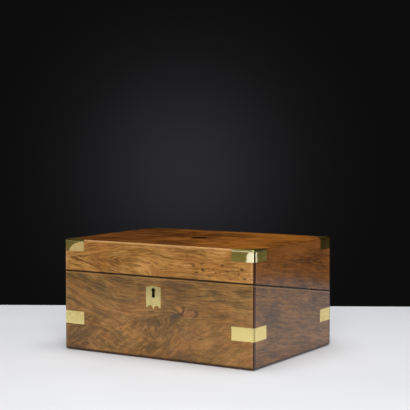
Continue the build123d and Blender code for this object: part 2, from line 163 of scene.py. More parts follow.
class Finish:
    """The nodes of a material or of the world; every node comes from the node method."""

    def __init__(self, owner):
        self.owner = owner
        owner.use_nodes = True
        self.tree = owner.node_tree
        self.tree.nodes.clear()

    def node(self, kind, settings=None, sockets=None, output=0):
        """A new node with its settings, and values or wires in its sockets."""
        node = self.tree.nodes.new(kind)
        for setting, value in (settings or {}).items():
            if setting == "stops":
                ramp = node.color_ramp
                while len(ramp.elements) < len(value):
                    ramp.elements.new(1)
                for stop, (place, colour) in zip(ramp.elements, value):
                    stop.position = place
                    stop.color = (*colour, 1)
            else:
                setattr(node, setting, value)
        for socket, value in (sockets or {}).items():
            if isinstance(value, Wire):
                self.tree.links.new(value.socket, node.inputs[socket])
            else:
                node.inputs[socket].default_value = value
        return Wire(self, node.outputs[output]) if node.outputs else None

    def maths(self, operation, first, second=0.5):
        return self.node("ShaderNodeMath", {"operation": operation}, {0: first, 1: second})

    def separate(self, spot, axes):
        """The parts of a vector along the numbered axes."""
        kind = "ShaderNodeSeparateXYZ"
        return [self.node(kind, sockets={0: spot}, output=axis) for axis in axes]

    def place(self):
        """X, Y and Z of the surface, in metres in the box's own frame."""
        return self.separate(self.node("ShaderNodeTexCoord", output="Object"), (0, 1, 2))

    def vector(self, x, y, z):
        return self.node("ShaderNodeCombineXYZ", sockets={0: x, 1: y, 2: z})

    def flat_pattern(self):
        """Distances in from the side and end edges of a flat piece, in metres, from its UV map."""
        return self.separate(self.node("ShaderNodeUVMap", {"uv_map": "edges"}), (0, 1))

    def fraction(self, value):
        return self.maths("FRACT", value)

    def least(self, first, second):
        return self.maths("MINIMUM", first, second)

    def most(self, first, second):
        return self.maths("MAXIMUM", first, second)

    def cell_edges(self, where, scale):
        """Distance from the edges between the cells of a cracked pattern."""
        settings = {"feature": "DISTANCE_TO_EDGE"}
        return self.node("ShaderNodeTexVoronoi", settings, {"Vector": where, "Scale": scale})

    def noise(self, where, scale=1.0, detail=2.0, roughness=0.5, distortion=0.0):
        sockets = {"Vector": where, "Scale": scale, "Detail": detail, "Roughness": roughness}
        return self.node("ShaderNodeTexNoise", sockets=sockets | {"Distortion": distortion})

    def spread(self, value, low, high):
        """0 at low and 1 at high, smoothed between them and clamped; low may be the larger."""
        sockets = {0: value, 1: low, 2: high, 3: 0.0, 4: 1.0}
        return self.node("ShaderNodeMapRange", {"interpolation_type": "SMOOTHSTEP"}, sockets)

    def band(self, value, outside, inside):
        """1 where the value is within inside of zero, 0 where it is past outside."""
        return self.spread(abs(value), outside, inside)

    def choose(self, mask, first, second):
        """A number: first where the mask is 0, second where it is 1."""
        return self.node("ShaderNodeMix", sockets={0: mask, 2: first, 3: second})

    def ramp(self, value, stops):
        return self.node("ShaderNodeValToRGB", {"stops": stops}, {0: value})

    def blend(self, mask, first, second, how="MIX"):
        """A colour: first where the mask is 0, second over it where it is 1."""
        settings = {"data_type": "RGBA", "blend_type": how}
        under, over = [c if isinstance(c, Wire) else (*c, 1) for c in (first, second)]
        return self.node("ShaderNodeMix", settings, {0: mask, 6: under, 7: over}, output=2)

    def dot(self, first, second):
        settings = {"operation": "DOT_PRODUCT"}
        return self.node("ShaderNodeVectorMath", settings, {0: first, 1: second}, output=1)

    def bump(self, height, distance, strength):
        sockets = {"Height": height, "Distance": distance, "Strength": strength}
        return self.node("ShaderNodeBump", sockets=sockets)

    def shade(self, **sockets):
        """Ends the material with one shader; underscores stand for spaces."""
        names = {name.replace("_", " "): value for name, value in sockets.items()}
        if not isinstance(names["Base Color"], Wire):
            names["Base Color"] = (*names["Base Color"], 1)
        self.end(self.node("ShaderNodeBsdfPrincipled", sockets=names), "ShaderNodeOutputMaterial")
        return self.owner

    def end(self, shader, kind):
        self.node(kind, sockets={"Surface": shader})


def new_finish(name):
    return Finish(bpy.data.materials.new(name))


def srgb(red, green, blue):
    """Linear colour from its 0 to 255 screen values."""
    linear = []
    for value in (red, green, blue):
        share = value / 255
        linear.append(((share + 0.055) / 1.055) ** 2.4 if value > 10 else share / 12.92)
    return tuple(linear)


def above_split(y, z):
    """Height over the sloping split between the base and the lid."""
    return (z - hinge_z) - (hinge_y - y) * math.tan(slope)


# Veneer figure of the front, in millimetres: place across, height, half width, half height,
# and how many bands of grain it lifts
front_figure = [
    (56, 71.0, 14, 7.5, 1.1),
    (30, 62, 22, 6, -0.7),
    (2, 38, 14, 18, 1.9),
    (-42, 30, 26, 17, 1.1),
    (-118, 22, 22, 18, -1.2),
    (38, 38, 12, 13, -1.3),
    (84, 46, 13, 11, 1.1),
]

# Knot on the front, in millimetres: place across, height, half width, half height, and lean
knot_eye = (57.5, 70.2, 12.5, 7.2, 0.1)
knot_almond = (36.5, 66.8, 15.5, 5.6, 0.16)


def knot_oval(along, across, knot):
    """Distance from the middle of a leaning oval, 1 on its outline."""
    u, v, wide, high, lean = knot
    out = along - u * MM
    up = across - v * MM - out * lean
    return ((out / (wide * MM)) ** 2 + (up / (high * MM)) ** 2) ** 0.5


def walnut():
    """Figured walnut veneer over a solid carcase, under worn glossy polish."""
    f = new_finish("figured_walnut")
    x, y, z = f.place()
    from_side = half_width - abs(x)
    from_face = half_depth - abs(y)
    from_top = box_height - z
    on_side = from_side < f.least(from_face, from_top)
    on_top = from_top < f.least(from_face, from_side)
    on_wall = (1 - on_side) * (1 - on_top)
    on_front = (y < 0) * on_wall
    along = f.choose(on_side, x, y)
    across = f.choose(on_top, z, y)
    sheet = on_side * (3.1 + x * 5) + on_top * 7.7 + on_wall * (y * 9)
    leaf = f.vector(along, across, sheet)
    split = above_split(y, z)
    on_base = split < 0
    on_lid = 1 - on_base
    low_part = f.spread(across, 70 * MM, 48 * MM) * on_wall

    # Height field whose level lines are the grain; on the base it falls on the left and
    # climbs on the right
    band_height, side_drift = 13.5 * MM, 90 * MM
    fall_left, climb_right = 70 * MM, 20 * MM
    swirl = f.noise(leaf, 9, 2, 0.5) - 0.5
    ripple = f.noise(f.vector(along * 24, across * 20, sheet), 1.0, 3, 0.5) - 0.5
    jitter = f.noise(f.vector(along * 75, across * 110, sheet), 1.0, 3, 0.6) - 0.5
    wild = 0.30 + 0.34 * low_part + 0.15 * on_top
    plain = across / band_height + on_side * (along / side_drift)
    fall = f.least(along + fall_left, 0) * f.spread(across, 20 * MM, 100 * MM)
    climb = f.most(along - climb_right, 0) * f.spread(across, 85 * MM, 20 * MM)
    plain = plain + on_front * on_base * (fall * 24 - climb * 20)

    # Arched figure on the left of the lid, its point to the left
    arch_height, point_radius = 143.5 * MM, 3 * MM
    band_above, band_below, arch_run = 8.5 * MM, 20 * MM, 78 * MM
    over = across - arch_height
    bands_over = f.choose(over < 0, 1 / band_above, 1 / band_below)
    arch = ((over ** 2 + point_radius ** 2) ** 0.5) * bands_over - along / arch_run
    on_arch = on_front * on_lid * f.spread(along, 35 * MM, -35 * MM)
    plain = f.choose(on_arch, plain, arch + 9.0)
    rise = plain + wild * (2.6 * swirl + 1.6 * ripple) + (0.10 + 0.42 * low_part) * jitter
    figure = 0
    for u, v, wide, high, lift in front_figure:
        reach = ((along - u * MM) / (wide * MM)) ** 2 + ((across - v * MM) / (high * MM)) ** 2
        figure = figure + lift * (natural ** (-reach))
    rise = rise + figure * on_front

    # Tone: bands, streaks and lines drawn out along the grain, then clouds and flecks
    bands = f.noise(f.vector(along * 7, rise * 0.7, sheet), 1.0, 2, 0.5)
    short = 1 + 0.7 * low_part
    streaks = f.noise(f.vector(along * 22 * short, rise * 3.5, sheet), 1.0, 4, 0.62, 0.15)
    lines = f.noise(f.vector(along * 56 * short, rise * 9.5, sheet), 1.0, 3, 0.62, 0.1)
    cloud = f.noise(leaf, 30, 4, 0.6)
    patch = f.noise(leaf, 9, 3, 0.6)
    slant = f.vector(along * 34 + across * 40, across * 150 - along * 95, sheet + 2)
    flecks = f.spread(f.noise(slant, 1.0, 3, 0.6), 0.46, 0.74) * low_part
    contrast = 1 - 0.30 * low_part - 0.14 * on_base * (1 - low_part)
    contrast = contrast + 0.6 * on_top + 0.25 * on_side * on_base
    grain = 0.36 * (bands - 0.5) + 0.66 * (streaks - 0.5) + 0.72 * (lines - 0.5)
    tone = 0.5 + contrast * grain
    tone = tone + (0.46 + 0.45 * on_top) * (cloud - 0.5) + (0.36 + 0.6 * on_top) * (patch - 0.5)
    tone = tone + 0.20 * (flecks - 0.35 * low_part)
    tone = tone + on_front * on_lid * (0.04 + 0.05 * f.spread(along, 20 * MM, 120 * MM))
    tone = tone + on_front * low_part * (0.03 + 0.08 * f.spread(along, 0.0, 70 * MM))
    # Painted sheen: the top lighter towards the right
    tone = tone + on_top * (0.15 * f.spread(x, -20 * MM, 120 * MM) - 0.02)
    lid_leaf = f.ramp(tone, [
        (0.26, srgb(96, 62, 27)),
        (0.40, srgb(135, 92, 42)),
        (0.50, srgb(159, 112, 54)),
        (0.60, srgb(181, 129, 67)),
        (0.78, srgb(208, 154, 89)),
    ])
    base_leaf = f.ramp(tone, [
        (0.26, srgb(79, 56, 31)),
        (0.40, srgb(114, 83, 44)),
        (0.50, srgb(139, 101, 52)),
        (0.60, srgb(160, 117, 63)),
        (0.78, srgb(189, 136, 81)),
    ])
    wood = f.blend(on_base, lid_leaf, base_leaf)

    # Dark veins, smoky patches, open pores and pits
    ink = f.noise(f.vector(along * 9, rise * 1.9, sheet + 4), 1.0, 4, 0.6)
    vein = f.band(ink - 0.5, 0.018, 0.0) * f.spread(cloud, 0.40, 0.60)
    wood = f.blend(vein * 0.62, wood, srgb(62, 42, 26))
    smoke = f.noise(f.vector(along * 17, rise * 0.8, sheet + 9), 1.0, 4, 0.6)
    smoke = f.spread(smoke, 0.52, 0.70) * (0.20 + 0.18 * on_base)
    wood = f.blend(smoke, wood, srgb(84, 70, 52))
    dashes = f.noise(f.vector(along * 95, across * 260, sheet), 1.0, 2, 0.5)
    wood = f.blend(f.spread(dashes, 0.66, 0.74) * 0.35, wood, srgb(62, 40, 24))
    pit_height = 136 * MM
    pits = f.noise(f.vector(along * 105 + across * 80, across * 230, sheet + 6), 1.0, 2, 0.5)
    pitted = f.spread(pits, 0.57, 0.66) * f.spread(along, 35 * MM, 75 * MM)
    pitted = pitted * f.band(across - pit_height, 13 * MM, 8 * MM)
    wood = f.blend(pitted * on_front * 0.8, wood, srgb(66, 42, 30))

    # Knot on the front: a dark almond running into a reddish eye with a dark ring
    eye = knot_oval(along, across, knot_eye) + 1.3 * jitter + 1.0 * (cloud - 0.5)
    wood = f.blend(f.spread(eye, 1.3, 0.5) * on_front * 0.36, wood, srgb(136, 88, 66))
    ring = f.band(eye - 1.15, 0.26, 0.05) * f.spread(across, 62 * MM, 70 * MM)
    wood = f.blend(ring * on_front * 0.72, wood, srgb(78, 46, 38))
    almond = f.spread(knot_oval(along, across, knot_almond) + 0.9 * jitter, 1.15, 0.30)
    wood = f.blend(almond * on_front * 0.74, wood, srgb(68, 60, 50))

    # Flame: one dark level line of the arched figure, near its point
    flame_level = 2.05
    flame = f.band(arch + 0.35 * ripple + 0.12 * jitter - flame_level, 0.13, 0.02)
    flame = flame * f.spread(along, -70 * MM, -115 * MM)
    wood = f.blend(flame * on_arch * 0.62, wood, srgb(84, 52, 24))

    # Random hue and the lower front's own tone, then painted light and shade per face: the top
    # darkened and greyed towards the left, both sides darkened, a painted bluish reflection on the
    # base's sides and a painted golden glow along the top of the lid's sides
    hue = f.noise(f.vector(along * 16, rise * 0.5, sheet + 12), 1.0, 3, 0.6)
    lid_side = on_side * on_lid
    for mask, tint, how in (
        (f.spread(hue, 0.46, 0.62) * on_wall * 0.34, srgb(255, 224, 206), "MULTIPLY"),
        (f.spread(hue, 0.48, 0.34) * on_base * on_wall * 0.45, srgb(226, 236, 238), "MULTIPLY"),
        (low_part * on_front * 0.5, srgb(238, 230, 224), "MULTIPLY"),
        (low_part * on_front * f.spread(patch, 0.56, 0.40) * 0.36, srgb(88, 68, 48), "MIX"),
        (on_top * 0.95, srgb(194, 158, 76), "MULTIPLY"),
        (on_top * f.spread(x, 40 * MM, -150 * MM) * 0.75, srgb(186, 180, 190), "MULTIPLY"),
        (on_side * 0.8, srgb(232, 204, 160), "MULTIPLY"),
        (on_side * on_base * 0.55, srgb(214, 218, 236), "MULTIPLY"),
        (lid_side * f.spread(across, 140 * MM, 160 * MM) * 0.40, srgb(168, 104, 38), "MIX"),
        (lid_side * 0.9, srgb(214, 206, 188), "MULTIPLY"),
    ):
        wood = f.blend(mask, wood, tint, how)

    # Painted highlights beside the rounded arrises, and a dark line on each upright arris: the
    # joint between the veneers of two walls, with painted shade
    plain_wall = on_wall * f.spread(from_top, 3.0 * MM, 4.0 * MM)
    arris_highlight = plain_wall * f.band(from_side - 3.6 * MM, 1.8 * MM, 0.8 * MM)
    arris_highlight = f.most(arris_highlight, on_side * f.band(from_face - 7.4 * MM, 1.6 * MM, 0.6 * MM) * 0.3)
    wood = f.blend(arris_highlight * (0.36 - 0.24 * on_base), wood, srgb(206, 160, 116))
    upright = plain_wall * f.spread(from_side, 2.0 * MM, 1.3 * MM)
    upright = f.most(upright, on_side * f.spread(from_face, 6.0 * MM, 4.6 * MM))
    wood = f.blend(upright * 0.94, wood, srgb(56, 22, 8))
    # Patchy painted highlight along the front's top arris, and painted shade along the sides' top
    # arrises
    front_rim_highlight = f.spread(f.most(from_top, from_face), 3.0 * MM, 1.6 * MM)
    # Noise that makes the painted highlights patchy, here and on the lip under the split
    rubbed = f.noise(leaf, 38, 3, 0.6)
    wood = f.blend(front_rim_highlight * (0.25 + 0.7 * rubbed), wood, srgb(206, 158, 104))
    side_rim_shade = f.spread(f.most(from_top, from_side), 3.0 * MM, 1.6 * MM)
    side_rim_shade = side_rim_shade * f.band(from_top - from_side, 1.6 * MM, 0.8 * MM)
    wood = f.blend(side_rim_shade * 0.7, wood, srgb(80, 38, 16))

    # Painted highlight on the lip under the split, then painted shade in the split and along the
    # foot
    lip_highlight = f.band(split + 2.7 * MM, 1.0 * MM, 0.4 * MM) * (1 - on_top)
    wood = f.blend(lip_highlight * (0.08 + 0.36 * rubbed), wood, srgb(196, 146, 96))
    wood = f.blend(f.band(split, 1.8 * MM, 0.9 * MM) * 0.85, wood, srgb(34, 21, 14))
    wood = f.blend(f.spread(z, 5.4 * MM, 2.8 * MM) * 0.9, wood, srgb(30, 20, 15))

    # Dark seams where the brass is let in: the joints, with painted shade
    to_arris = f.choose(on_side, from_side, from_face)
    strap_low, strap_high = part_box("strap_front_left")
    strap_leg = strap_high[0] - strap_low[0]
    strap_middle = (strap_low[2] + strap_high[2]) / 2
    strap_half = (strap_high[2] - strap_low[2]) / 2
    at_strap = f.most(to_arris - strap_leg, abs(z - strap_middle) - strap_half)
    corner_low, corner_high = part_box("lid_corner_front_left")
    corner_leg = corner_high[0] - corner_low[0]
    at_corner = f.most(to_arris - corner_leg, corner_low[2] - z)
    strap_seam = f.band(at_strap, 0.5 * MM, 0.2 * MM)
    corner_seam = f.band(at_corner, 0.5 * MM, 0.2 * MM) * (1 - on_top)
    wood = f.blend(f.most(strap_seam, corner_seam) * 0.6, wood, srgb(44, 28, 16))

    # Solid wood under the veneer, its grain along each board
    veneer_low, veneer_high, end_board = 0.9 * MM, 1.1 * MM, 9.8 * MM
    depth = f.least(f.least(from_side, from_face), from_top)
    under = f.spread(depth, veneer_low, veneer_high)
    in_end_board = from_side < end_board
    core_along = f.choose(in_end_board, x, y)
    core_across = f.choose(in_end_board, y, x)
    core_grain = f.noise(f.vector(core_along * 20, core_across * 420, z * 420), 1.0, 4, 0.6)
    core = f.ramp(core_grain, [
        (0.3, srgb(92, 48, 27)),
        (0.55, srgb(128, 72, 40)),
        (0.75, srgb(148, 90, 54)),
    ])
    colour = f.blend(under, wood, core)

    # Painted shade: black inside the keyhole's hole in the front board
    mouth_height, mouth_back = 97.9 * MM, -112 * MM
    keyhole_shade = f.band(x + lock_left * MM, 4.4 * MM, 3.8 * MM)
    keyhole_shade = keyhole_shade * f.band(z - mouth_height, 8.0 * MM, 7.4 * MM) * (y < mouth_back)
    colour = f.blend(keyhole_shade, colour, srgb(12, 9, 7))

    scuffs = f.noise(leaf, 55, 4, 0.6)
    polish = 0.38 + 0.45 * on_side - 0.26 * on_top
    return f.shade(
        Base_Color=colour,
        Roughness=0.5 + 0.1 * (scuffs - 0.5),
        Specular_IOR_Level=0.12,
        Normal=f.bump(0.6 * lines + 0.4 * dashes, 0.05 * MM, 0.5),
        Coat_Weight=f.choose(under, polish, 0.1),
        Coat_Roughness=0.11,
    )


def straight_wood(name, browns, roughness, coat, seed):
    """Plain straight grained wood, its grain along X; browns run from dark to pale."""
    f = new_finish(name)
    x, y, z = f.place()
    drift = f.noise(f.vector(x * 6, y * 14, z * 14 + seed), 1.0, 2) - 0.5
    grain = f.noise(f.vector(x * 10, y * 150 + drift * 14, z * 150 + drift * 14), 1.0, 4, 0.62)
    fibres = f.noise(f.vector(x * 46, y * 620, z * 620 + seed), 1.0, 2, 0.6)
    pores = f.spread(f.noise(f.vector(x * 130, y * 900, z * 900), 1.0, 1), 0.62, 0.72)
    tone = 0.62 * grain + 0.28 * fibres + 0.10 * f.noise(f.vector(x, y, z), 30, 2)
    wood = f.ramp(tone, list(zip((0.32, 0.50, 0.68), browns)))
    wood = f.blend(pores * 0.45, wood, browns[0])
    return f.shade(
        Base_Color=wood,
        Roughness=roughness + 0.1 * (grain - 0.5),
        Normal=f.bump(fibres - pores, 0.06 * MM, 0.6),
        Coat_Weight=coat,
        Coat_Roughness=0.2,
    )


# Pale oval on the far left corner of the lid, worn brass with a painted highlight, in
# millimetres: place left of the middle, height, half width and half height
pale_oval = (128.5, 151.2, 27.5, 14.5)


def brass(name, clean, tarnish, amount, roughness, shape):
    """Aged brass: clean metal under a soft film, with fine scratches and small dark specks.

    The amount is how thick the film is. The shape adds the wear and the painted light and shade
    of one kind of piece: corner for the straps and lid corners, plate for the keyhole plate and
    the lid's plate, lock for the lock and hinges. Turned caps have none of their own."""
    f = new_finish(name)
    x, y, z = f.place()
    spot = f.vector(x, y, z)
    cloud = f.noise(spot, 60, 4, 0.6)
    near_strap = (1 - (x < 100 * MM)) * (y < 0) * (z < 100 * MM)
    film = f.spread(cloud, 0.42, 0.72) * amount * (1 - 0.8 * near_strap)
    metal = f.blend(film, clean, tarnish)
    specks = f.spread(f.noise(spot, 900, 2, 0.6), 0.70, 0.78)
    metal = f.blend(specks * 0.22, metal, srgb(92, 70, 34))
    rub = f.noise(f.vector(x * 260, y * 260, z * 1900), 1.0, 2, 0.5)
    drawn = f.vector((x + z) * 1500, (y + z) * 1500, (z - x - y) * 90)
    scratches = f.noise(drawn, 1.0, 2, 0.6)
    normal = f.bump(0.6 * cloud + 0.25 * rub + 0.15 * scratches, 0.05 * MM, 0.22)
    dull = roughness + 0.16 * film + 0.05 * (rub - 0.5)
    metallic = 1.0
    if shape == "corner":
        # Painted shade greys and darkens the lid corners, most on the rear of their sides. The
        # lid's near right corner is brighter beside its fold and the far left one in an oval, worn
        # brass with a painted highlight; both have a painted highlight along their top, and every
        # fold has a dark line, the crease with painted shade
        from_side, from_face = half_width - abs(x), half_depth - abs(y)
        on_side = from_side < from_face
        on_front = (1 - on_side) * (y < 0)
        on_left = x < 0
        on_lid = 1 - (z < 100 * MM)
        wander = f.noise(spot, 240, 4, 0.7) - 0.5
        # Bright patches: worn brass with a painted highlight
        ragged = from_side + 16 * MM * wander + (z - 158 * MM) * 0.3
        near = f.spread(ragged, 12.5 * MM, 10.8 * MM) * on_front
        strip = f.band(from_face - 6.6 * MM + 4 * MM * wander, 2.6 * MM, 1.6 * MM)
        near = f.most(near, strip * on_side * (y < 0))
        near = near * f.spread(z, 166.2 * MM, 165.0 * MM) * (1 - on_left)
        u, v, wide, high = pale_oval
        oval = (((x + u * MM) / (wide * MM)) ** 2 + ((z - v * MM) / (high * MM)) ** 2) ** 0.5
        oval = oval + 0.08 * (f.noise(spot, 500, 3, 0.6) - 0.5)
        far = f.spread(oval, 1.03, 0.97) * on_left * on_front
        # Painted highlight along the top edge
        top_edge_highlight = f.band(z - 166.4 * MM, 1.1 * MM, 0.5 * MM) * on_front
        top_edge_highlight = top_edge_highlight * (0.35 + 0.6 * cloud) * (1 - 0.75 * on_left)
        patch = f.most(f.most(near, far), top_edge_highlight) * on_lid
        # Dark line at the fold: the crease, with painted shade
        crease = f.spread(from_face, 4.4 * MM, 3.6 * MM) * on_side
        crease = crease * f.spread(z, 167.5 * MM, 166.0 * MM)
        # Painted shade: the lid corners greyed and darkened, more on the rear of their sides
        metal = f.blend(on_lid * 0.85, metal, srgb(206, 203, 150), "MULTIPLY")
        rear_side_shade = on_lid * on_side * f.spread(y, -20 * MM, 90 * MM)
        metal = f.blend(rear_side_shade * 0.8, metal, srgb(170, 162, 118), "MULTIPLY")
        metal = f.blend(patch, metal, f.blend(far, srgb(255, 246, 200), srgb(206, 180, 112)))
        metal = f.blend(crease * (0.45 + 0.45 * on_lid), metal, srgb(40, 30, 12))
        metallic = 1 - 0.75 * patch
        dull = dull + 0.25 * patch + 0.05 * on_lid
    if shape == "plate":
        # Painted shade on the cut edges and inside the keyhole, grime round the keyhole, and
        # painted shade darkening and greying the keyhole plate's top
        stem_height = 96.2 * MM
        edge = f.spread(f.least(half_depth - abs(y), box_height - z), 0.2 * MM, 0.4 * MM)
        metal = f.blend(edge * 0.9, metal, srgb(30, 22, 12))
        from_lock = x + lock_left * MM
        from_bulb = (from_lock ** 2 + (z - bulb_height * MM) ** 2) ** 0.5
        stem = f.band(from_lock, 3.4 * MM, 2.4 * MM)
        stem = stem * f.band(z - stem_height, 6.2 * MM, 5.0 * MM)
        keyhole_shade_and_grime = f.most(f.spread(from_bulb, 4.1 * MM, 3.2 * MM), stem)
        metal = f.blend(keyhole_shade_and_grime * 0.8, metal, srgb(34, 26, 14))
        top_shade = f.spread(z, 86 * MM, 102 * MM) * (1 - (z < 74 * MM)) * (z < 120 * MM)
        metal = f.blend(top_shade * 0.5, metal, srgb(206, 192, 130))
    if shape == "lock":
        # Painted shade inside the lock case, under the split
        inside = f.spread(above_split(y, z), -1.6 * MM, -2.8 * MM)
        metal = f.blend(inside * 0.93, metal, srgb(22, 18, 14))
        dull = dull + 0.3 * inside
    return f.shade(Base_Color=metal, Metallic=metallic, Roughness=dull, Normal=normal)


def tooled_leather():
    """Bottle green writing leather with worn gilt and blind tooling round its border."""
    f = new_finish("bottle_green_leather")
    x, y, z = f.place()
    spot = f.vector(x, y, z)
    from_side, from_end = f.flat_pattern()
    inward = f.least(from_side, from_end)
    run = f.choose(from_side < from_end, from_side, from_end)
    pebble = f.cell_edges(spot, 900)
    wrinkle = f.noise(spot, 240, 4, 0.6)
    cloud = f.noise(spot, 14, 3, 0.6)
    wear = f.noise(spot, 34, 4, 0.6)
    hide = f.ramp(0.6 * cloud + 0.4 * wear, [
        (0.34, srgb(24, 50, 36)),
        (0.52, srgb(33, 66, 46)),
        (0.70, srgb(50, 84, 58)),
    ])
    creases = f.spread(pebble, 0.10, 0.0)
    hide = f.blend(creases * 0.5, hide, srgb(17, 35, 26))
    rubbed = f.spread(wear, 0.56, 0.72) * f.spread(inward, 15 * MM, 40 * MM)
    hide = f.blend(rubbed * 0.2, hide, srgb(84, 104, 72))
    ink_spot = f.spread(f.noise(spot, 46, 2, 0.4), 0.735, 0.75)
    ink_spot = ink_spot * f.spread(inward, 20 * MM, 30 * MM)
    hide = f.blend(ink_spot * 0.6, hide, srgb(16, 20, 30))

    # Gilt fillets on both sides of a chain of lozenges and dots, then a blind line
    repeat, chain_line, blind_line = 6.2 * MM, 9.2 * MM, 16.5 * MM
    fillet = f.band(inward - 4.0 * MM, 0.34 * MM, 0.22 * MM)
    fillet = f.most(fillet, f.band(inward - 5.2 * MM, 0.22 * MM, 0.12 * MM))
    fillet = f.most(fillet, f.band(inward - 13.2 * MM, 0.30 * MM, 0.20 * MM))
    step = (f.fraction(run / repeat) - 0.5) * repeat
    lozenge = abs(step) * 0.75 + abs(inward - chain_line)
    chain = f.band(lozenge - 1.8 * MM, 0.40 * MM, 0.24 * MM)
    chain = f.most(chain, f.spread(lozenge, 0.6 * MM, 0.4 * MM))
    from_both = f.most(from_side, from_end)
    corner = f.spread(from_both, 15.0 * MM, 14.6 * MM)
    rose = from_both * 0.5 + inward * 0.5 - chain_line
    chain = chain * (1 - corner) + corner * f.band(abs(rose) - 1.4 * MM, 0.4 * MM, 0.25 * MM)
    gilt = f.most(fillet, chain) * f.spread(inward, 3.2 * MM, 3.6 * MM)
    blind = f.band(inward - blind_line, 0.6 * MM, 0.3 * MM)
    gilt_left = gilt * f.spread(wear, 0.70, 0.46)
    colour = f.blend(blind * 0.55, hide, srgb(14, 28, 21))
    colour = f.blend(gilt * 0.5, colour, srgb(70, 66, 34))
    colour = f.blend(gilt_left * 0.95, colour, srgb(212, 172, 84))
    skin = 0.5 * f.spread(pebble, 0.0, 0.25) + 0.35 * wrinkle - 0.9 * f.most(gilt, blind)
    return f.shade(
        Base_Color=colour,
        Metallic=gilt_left * 0.85,
        Roughness=0.46 + 0.16 * wrinkle - 0.14 * gilt_left,
        Normal=f.bump(skin, 0.12 * MM, 0.6),
        Specular_IOR_Level=0.4,
    )


def ribbon():
    """Claret silk pull tab with fine ribs across it and a stitched inner end."""
    f = new_finish("claret_ribbon")
    x, y, z = f.place()
    from_side, from_end = f.flat_pattern()
    rib_pitch, stitch_line, stitch_pitch = 0.55 * MM, 1.6 * MM, 1.7 * MM
    ribs = f.band(f.fraction(from_end / rib_pitch) - 0.5, 0.5, 0.1)
    edge = f.spread(from_side, 1.1 * MM, 0.7 * MM)
    thread = f.noise(f.vector(x * 2600, y * 900, z * 900), 1.0, 2, 0.6)
    silk = f.ramp(0.45 * ribs + 0.55 * thread, [
        (0.2, srgb(70, 14, 18)),
        (0.5, srgb(112, 24, 30)),
        (0.8, srgb(146, 46, 50)),
    ])
    silk = f.blend(edge * 0.5, silk, srgb(88, 18, 22))
    stitch = f.band(from_end - stitch_line, 0.32 * MM, 0.2 * MM)
    stitch = stitch * f.band(f.fraction(from_side / stitch_pitch) - 0.5, 0.38, 0.30)
    silk = f.blend(stitch * 0.9, silk, srgb(206, 176, 128))
    return f.shade(
        Base_Color=silk,
        Roughness=0.48 + 0.2 * (thread - 0.5),
        Sheen_Weight=0.35,
        Sheen_Roughness=0.4,
        Normal=f.bump(0.7 * ribs + 0.3 * thread + stitch, 0.08 * MM, 0.6),
    )


def baize():
    """Green wool baize, worn to paler patches where the box stands."""
    f = new_finish("green_baize")
    x, y, z = f.place()
    spot = f.vector(x, y, z)
    fibre = f.noise(spot, 1400, 3, 0.7, 0.8)
    tuft = f.noise(spot, 330, 3, 0.6, 0.4)
    worn = f.noise(spot, 16, 4, 0.6)
    wool = f.ramp(0.45 * fibre + 0.35 * tuft + 0.2 * worn, [
        (0.36, srgb(24, 46, 30)),
        (0.50, srgb(42, 74, 46)),
        (0.66, srgb(72, 104, 66)),
    ])
    wool = f.blend(f.spread(worn, 0.56, 0.70) * 0.4, wool, srgb(96, 106, 74))
    return f.shade(
        Base_Color=wool,
        Roughness=0.94,
        Sheen_Weight=0.5,
        Sheen_Roughness=0.5,
        Specular_IOR_Level=0.1,
        Normal=f.bump(0.6 * fibre + 0.4 * tuft, 0.3 * MM, 0.7),
    )


def bottle_glass():
    """Clear pressed glass with a faint green cast and soft mould waviness."""
    f = new_finish("bottle_glass")
    x, y, z = f.place()
    spot = f.vector(x, y, z)
    waves = f.noise(spot, 90, 2, 0.4)
    smears = f.noise(spot, 210, 4, 0.6)
    return f.shade(
        Base_Color=srgb(232, 243, 236),
        Roughness=0.02 + 0.07 * f.spread(smears, 0.5, 0.75),
        IOR=1.5,
        Transmission_Weight=1.0,
        Normal=f.bump(waves, 0.3 * MM, 0.25),
    )


flap_browns = srgb(74, 34, 20), srgb(118, 58, 32), srgb(146, 80, 46)
lining_browns = srgb(70, 34, 21), srgb(112, 60, 35), srgb(140, 82, 50)
finishes = {
    "writing_leather": tooled_leather(),
    "tab_ribbon": ribbon(),
    "felt": baize(),
    "ink_glass": bottle_glass(),
    "walnut_veneer": walnut(),
    "flap_wood": straight_wood("flap_mahogany", flap_browns, roughness=0.38, coat=0.3, seed=1.0),
    "inner_wood": straight_wood(
        "lining_mahogany", lining_browns, roughness=0.5, coat=0.12, seed=5.0
    ),
    "corner_brass": brass(
        "worn_brass_and_painted_light", srgb(255, 234, 156), srgb(234, 204, 126),
        amount=0.55, roughness=0.24, shape="corner",
    ),
    "plate_brass": brass(
        "plate_brass", srgb(255, 234, 158), srgb(228, 196, 118),
        amount=0.6, roughness=0.24, shape="plate",
    ),
    # The lid's plate: tarnished brass, darkened further as a painted dark reflection
    "dark_plate": brass(
        "tarnish_and_shade_plate", srgb(140, 112, 64), srgb(72, 54, 30),
        amount=0.8, roughness=0.20, shape="plate",
    ),
    "lock_brass": brass(
        "aged_brass", srgb(232, 204, 134), srgb(160, 126, 70),
        amount=0.8, roughness=0.30, shape="lock",
    ),
    "ink_brass": brass(
        "lacquered_brass", srgb(240, 212, 140), srgb(190, 152, 86),
        amount=0.5, roughness=0.22, shape="turned",
    ),
}
own_finish = {"escutcheon": "plate_brass", "lid_plate": "dark_plate"}
for subpart in frame["record"]["subparts"]:
    slot = own_finish.get(subpart["node"], subpart["material_slot"])
    materials = frame["nodes"][subpart["node"]].data.materials
    materials.clear()
    materials.append(finishes[slot])


# Pieces that stand for the CAD model's soft parts and plain caps, and the screws

